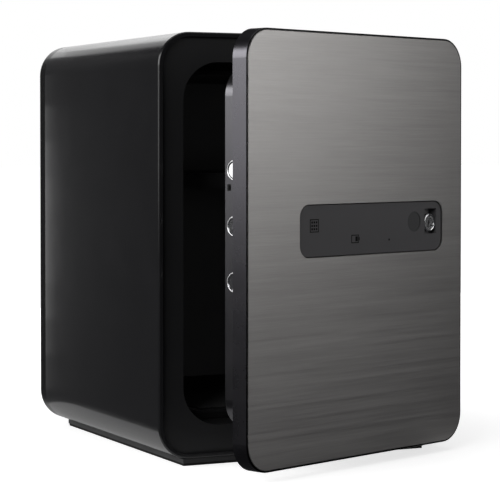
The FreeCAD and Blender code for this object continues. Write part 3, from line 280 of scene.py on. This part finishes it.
# The rear cover is the same black as the sleeve, but matt, and the lock's face is cast and pitted.
NODE_FINISHES = {
    "door_shell": door_edge(),
    "rear_cover": coated("rear_matt", (0.004, 0.004, 0.0042), rough=(0.22, 0.28), grain=1300.0,
                         relief=0.002, specular=0.18),
    "key_cylinder": coated("cast_chrome", (0.34, 0.34, 0.345), vary=0.6, patch=420.0, rough=(0.12, 0.35),
                           grain=900.0, relief=0.25, metallic=1.0),
    "key_plug": coated("plug_chrome", (0.24, 0.24, 0.245), vary=0.6, patch=420.0, rough=(0.15, 0.38),
                       grain=900.0, relief=0.2, metallic=1.0),
}


def paint_nodes():
    """Gives each CAD node its own finish, or else the material of its slot in the record."""
    for row in frame["record"]["subparts"]:
        node = NODES[row["node"]]
        for place in node.material_slots:
            place.link = "OBJECT"
            place.material = NODE_FINISHES.get(row["node"], MATERIALS[row["material_slot"]])


paint_nodes()

# ---------------------------------------------------------------------------
# Pieces


def new_piece(name, bm, body, slot):
    """A smooth-shaded piece made of this mesh, in its slot's material, that rides on a body."""
    mesh = bpy.data.meshes.new(name)
    bmesh.ops.recalc_face_normals(bm, faces=bm.faces)
    bm.to_mesh(mesh)
    bm.free()
    mesh.materials.append(MATERIALS[slot])
    for face in mesh.polygons:
        face.use_smooth = True
    piece = bpy.data.objects.new(name, mesh)
    bpy.context.scene.collection.objects.link(piece)
    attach(piece, body)
    return piece


def add_ring(bm, centre, profile, axis="x"):
    """Turns a closed profile of (radius, along) points about a line along X or Y, door shut."""
    rows = []
    for step in range(RING_STEPS):
        angle = 2 * math.pi * step / RING_STEPS
        row = []
        for radius, along in profile:
            across, up = radius * math.cos(angle), radius * math.sin(angle)
            offset = (along, across, up) if axis == "x" else (across, along, up)
            row.append(bm.verts.new(to_rest(Vector(centre) + Vector(offset))))
        rows.append(row)
    count = len(profile)
    for step in range(RING_STEPS):
        here, after = rows[step], rows[(step + 1) % RING_STEPS]
        for index in range(count):
            other = (index + 1) % count
            bm.faces.new((here[index], here[other], after[other], after[index]))


def make_bushes():
    """The bright bushes round the bolts: each a tube with a rounded lip that stands a little proud."""
    wall_out, wall_in, proud, length = 11.4 * MM, 10.08 * MM, 0.3 * MM, 8.0 * MM
    middle, half = (wall_out + wall_in) / 2, (wall_out - wall_in) / 2
    arc = [math.pi * step / 10 for step in range(11)]
    lip = [(middle + half * math.cos(a), -proud + half * (1 - math.sin(a))) for a in arc]
    profile = lip + [(wall_in, length), (wall_out, length)]
    bm = bmesh.new()
    for place in (-1, 0, 1):
        add_ring(bm, (PLUG_SIDE, BOLT_Y, BOLT_MIDDLE + place * BOLT_SPACING), profile)
    piece = new_piece("bolt_bush_rings", bm, "door", "bright_chrome")
    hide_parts("bolt_bushes")


def make_key_bezel():
    """A rounded chrome rim round the face of the key cylinder."""
    outer, inner, rise, sunk = 10.5 * MM, 8.3 * MM, 0.9 * MM, 0.2 * MM
    middle, half = (outer + inner) / 2, (outer - inner) / 2
    arc = [math.pi * step / 12 for step in range(13)]
    crown = [(middle + half * math.cos(a), -rise * math.sin(a)) for a in arc]
    profile = crown + [(inner, sunk), (outer, sunk)]
    bm = bmesh.new()
    add_ring(bm, (KEY_X, DOOR_FRONT + KEY_RECESS, KEY_HEIGHT), profile, axis="y")
    new_piece("key_bezel", bm, "door", "bright_chrome")


def mat_grid(low, high, step):
    """A flat grid of square faces over the mat's top."""
    across, along = (round((high[i] - low[i]) / step) for i in (0, 1))
    bm = bmesh.new()
    rows = []
    for i in range(across + 1):
        x = low.x + (high.x - low.x) * i / across
        rows.append([])
        for j in range(along + 1):
            y = low.y + (high.y - low.y) * j / along
            rows[-1].append(bm.verts.new((x, y, high.z)))
    for i in range(across):
        for j in range(along):
            bm.faces.new((rows[i][j], rows[i + 1][j], rows[i + 1][j + 1], rows[i][j + 1]))
    return bm


def punch(bm, x, y, radius):
    """Removes the grid inside a circle and moves the cut edge onto the circle."""
    nearby = [v for v in bm.verts if (v.co.x - x) ** 2 + (v.co.y - y) ** 2 < (radius * 1.05) ** 2]
    bmesh.ops.delete(bm, geom=nearby, context="VERTS")
    for v in bm.verts:
        away = Vector((v.co.x - x, v.co.y - y))
        if v.is_boundary and away.length < 2.2 * radius:
            away = away.normalized() * radius
            v.co.x, v.co.y = x + away.x, y + away.y


def make_mat():
    """The felt mat: a laid sheet with soft cut edges, a slightly uneven face and four punched holes."""
    low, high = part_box("floor_mat")
    bm = mat_grid(low, high, step=4.0 * MM)
    for x in (-100.0 * MM, 100.0 * MM):
        for y in (-60.0 * MM, 100.0 * MM):
            punch(bm, x, y, radius=6.0 * MM)
    for v in bm.verts:
        broad = math.sin(61.0 * v.co.x + 2.0) * math.sin(47.0 * v.co.y)
        ripple = 0.4 * math.sin(151.0 * v.co.x - 97.0 * v.co.y)
        v.co.z -= (0.12 + 0.10 * (broad + ripple)) * MM
    piece = new_piece("felt_mat", bm, "cabinet", "mat_felt")
    if piece.data.polygons[0].normal.z < 0:
        piece.data.flip_normals()
    thick = piece.modifiers.new("thickness", "SOLIDIFY")
    thick.thickness = 2.1 * MM
    thick.offset = -1.0
    edge = piece.modifiers.new("edge", "BEVEL")
    edge.width = 0.7 * MM
    edge.segments = 3
    edge.limit_method = "ANGLE"
    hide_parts("floor_mat")


make_bushes()
make_key_bezel()
make_mat()

# ---------------------------------------------------------------------------
# Stage: floor, lights and camera

CAMERA_PLACE = (-1.08574, -2.29182, 0.36887)
CAMERA_YAW = 25.801
CAMERA_PITCH = -1.552
CAMERA_LENS = 143.42
CAMERA_SHIFT = -0.1
SENSOR_WIDTH = 36.0


def make_camera():
    """The camera, with half of the photograph's upright shift and the rest as a slight tilt."""
    yaw, pitch = math.radians(CAMERA_YAW), math.radians(CAMERA_PITCH)
    ahead = Vector((math.sin(yaw) * math.cos(pitch), math.cos(yaw) * math.cos(pitch), math.sin(pitch)))
    data = bpy.data.cameras.new("camera")
    data.lens = CAMERA_LENS
    data.sensor_width = SENSOR_WIDTH
    data.shift_y = CAMERA_SHIFT
    camera = bpy.data.objects.new("camera", data)
    camera.location = CAMERA_PLACE
    camera.rotation_mode = "QUATERNION"
    camera.rotation_quaternion = ahead.to_track_quat("-Z", "Y")
    bpy.context.scene.collection.objects.link(camera)
    bpy.context.scene.camera = camera


def soft_light(name, place, target, size, radiance):
    """A rectangular softbox that faces target, unseen by the camera. Size is (across, up) in metres."""
    data = bpy.data.lights.new(name, "AREA")
    data.shape = "RECTANGLE"
    data.size, data.size_y = size
    data.energy = radiance * math.pi * size[0] * size[1]
    light = bpy.data.objects.new(name, data)
    light.location = place
    light.rotation_mode = "QUATERNION"
    light.rotation_quaternion = (Vector(target) - Vector(place)).to_track_quat("-Z", "Y")
    light.visible_camera = False
    bpy.context.scene.collection.objects.link(light)
    return light


def sky():
    """White behind everything for the camera, and a dim grey room for all other rays."""
    world = bpy.data.worlds.new("studio")
    world.use_nodes = True
    tree = world.node_tree
    background = tree.nodes["Background"]
    ray = add_node(tree, "ShaderNodeLightPath")
    room, white = (0.032, 0.032, 0.034, 1.0), (1.0, 1.0, 1.0, 1.0)
    tone = blend_colours(tree, ray.outputs["Is Camera Ray"], room, white)
    plug(tree, background.inputs["Color"], tone)
    bpy.context.scene.world = world


def flat_piece(name, width, depth, height, material):
    """A level rectangle of the stage, centred under the object."""
    mesh = bpy.data.meshes.new(name)
    x, y = width / 2, depth / 2
    corners = [(-x, -y, height), (x, -y, height), (x, y, height), (-x, y, height)]
    mesh.from_pydata(corners, [], [(0, 1, 2, 3)])
    mesh.materials.append(material)
    piece = bpy.data.objects.new(name, mesh)
    bpy.context.scene.collection.objects.link(piece)
    return piece


def floor_material(name, near, far):
    """A pale matt surface whose own glow rises from near to far with distance, so shadows stay faint."""
    material, tree, shader = new_material(name)
    place = object_space(tree)
    clouds = noise(tree, place, 2.0, 3.0)
    pale = (0.8, 0.8, 0.8, 1.0)
    plug(tree, shader.inputs["Base Color"], blend_colours(tree, clouds, shade(pale, 0.98), pale))
    shader.inputs["Roughness"].default_value = 0.9
    shader.inputs["Specular IOR Level"].default_value = 0.0
    shader.inputs["Emission Color"].default_value = (1.0, 1.0, 1.0, 1.0)
    away = add_node(tree, "ShaderNodeVectorMath", operation="LENGTH")
    plug(tree, away.inputs[0], place)
    plug(tree, shader.inputs["Emission Strength"], spread(tree, away.outputs["Value"], near, far, 0.25, 0.7))
    return material


def shine_on(light, pieces):
    """Lets a light reach these pieces alone."""
    receivers = bpy.data.collections.new(light.name + "_receivers")
    for piece in pieces:
        receivers.objects.link(piece)
    light.light_linking.receiver_collection = receivers


def make_side_cards():
    """A short graded column of cards close behind the left side, which only the sleeve reflects."""
    shares = (0.2, 0.42, 0.7, 0.92, 0.95, 1.0, 0.8, 0.5, 0.12)
    brightest, x, width, tall = 0.9, -0.232, 0.06, 0.05
    for level, share in enumerate(shares, start=1):
        place, target = (x, 0.36, tall * level), (x, 0.0, tall * level)
        card = soft_light(f"side_card_{level}", place, target, (width, tall), brightest * share)
        shine_on(card, [NODES["outer_shell"]])


def make_bolt_light():
    """A softbox behind the left that only the bright bolts and their bushes see."""
    box = soft_light("bolt_box", (-1.45, 1.15, 0.55), (-0.15, -0.3, 0.3), (0.9, 1.5), 3.0)
    shine_on(box, [NODES["locking_bolts"], bpy.data.objects["bolt_bush_rings"]])


def make_sleeve_lights():
    """Lights for the glossy black sleeve, its back and the hinges: edge highlights and soft flats."""
    sleeve = [NODES["outer_shell"], NODES["rear_cover"]]
    shine_on(soft_light("strip_right", (0.75, 2.0, 1.42), (0.75, 0.0, 1.42), (1.5, 0.5), 1.6), sleeve)
    shine_on(soft_light("strip_left", (-0.2, 2.0, 1.42), (-0.2, 0.0, 1.42), (0.4, 0.5), 0.7), sleeve)
    shine_on(soft_light("lip_box", (-1.75, -1.75, 1.1), (-0.15, -0.2, 0.6), (0.9, 1.0), 6.0), sleeve)
    shine_on(soft_light("right_soft", (1.85, -1.45, 1.15), (0.0, -0.3, 0.4), (1.6, 1.2), 0.5), sleeve)
    hinges = [NODES[name] for name in ("hinge_body_leaves", "hinge_door_leaves", "hinge_body_screws")]
    shine_on(soft_light("side_soft", (2.6, 0.1, 0.15), (0.0, 0.1, 0.3), (1.6, 1.2), 0.6), sleeve + hinges)


def make_door_back_light():
    """A low card in front that the back of the door reflects when the door stands open."""
    names = ("door_pan", "lock_cover", "lock_cover_screws", "battery_cover", "battery_holder", "batteries")
    card = soft_light("low_card", (0.3, -1.5, 0.002), (0.3, -1.5, 1.0), (3.0, 1.6), 0.5)
    shine_on(card, [NODES[name] for name in names])


def make_door_light():
    """The strong softbox on the right, which reaches everything but the sleeve and the rear cover."""
    box = soft_light("right_box", (1.85, -1.45, 0.9), (0.0, -0.3, 0.4), (1.0, 1.1), 2.3)
    rings = [bpy.data.objects[name] for name in ("bolt_bush_rings", "key_bezel", "felt_mat")]
    nodes = [node for name, node in NODES.items() if name not in ("outer_shell", "rear_cover")]
    shine_on(box, nodes + rings)


def make_inside_light():
    """A weak light through the doorway that lifts the liner's walls out of black."""
    box = soft_light("inside_box", (-0.75, -1.6, 0.35), (0.0, 0.0, 0.3), (0.4, 0.4), 8.0)
    shine_on(box, [NODES["inner_liner"]])


def make_stage():
    """The pale floor, a dim card that only the object's underside reflects, and all the lights."""
    floor = flat_piece("floor", 60.0, 60.0, -0.2 * MM, floor_material("floor_paper", 0.72, 1.0))
    floor.visible_glossy = False
    floor.visible_diffuse = False
    floor.visible_shadow = False
    table = flat_piece("table", 0.50, 0.52, -0.4 * MM, floor_material("table_paper", 0.14, 0.14))
    table.visible_camera = False
    table.visible_shadow = False
    soft_light("backdrop", (1.15, 2.0, 0.3), (1.15, 0.0, 0.3), (2.9, 1.8), 1.1)
    soft_light("backdrop_left", (-0.625, 2.0, 0.3), (-0.625, 0.0, 0.3), (0.65, 1.8), 0.06)
    soft_light("left_high", (-2.0, -0.1, 1.1), (0.0, -0.1, 1.1), (2.4, 0.8), 4.5)
    soft_light("left_low", (-2.0, -0.1, 0.485), (0.0, -0.1, 0.485), (2.4, 0.43), 1.6)
    soft_light("front_left_box", (-1.75, -1.75, 1.1), (-0.15, -0.2, 0.6), (0.9, 1.0), 4.0)
    soft_light("top_box", (0.0, -0.2, 2.4), (0.0, 0.0, 0.2), (2.0, 2.0), 1.0)
    make_side_cards()
    make_bolt_light()
    make_sleeve_lights()
    make_door_back_light()
    make_door_light()
    make_inside_light()
    sky()


make_camera()
make_stage()
bpy.context.scene.view_settings.view_transform = "Standard"
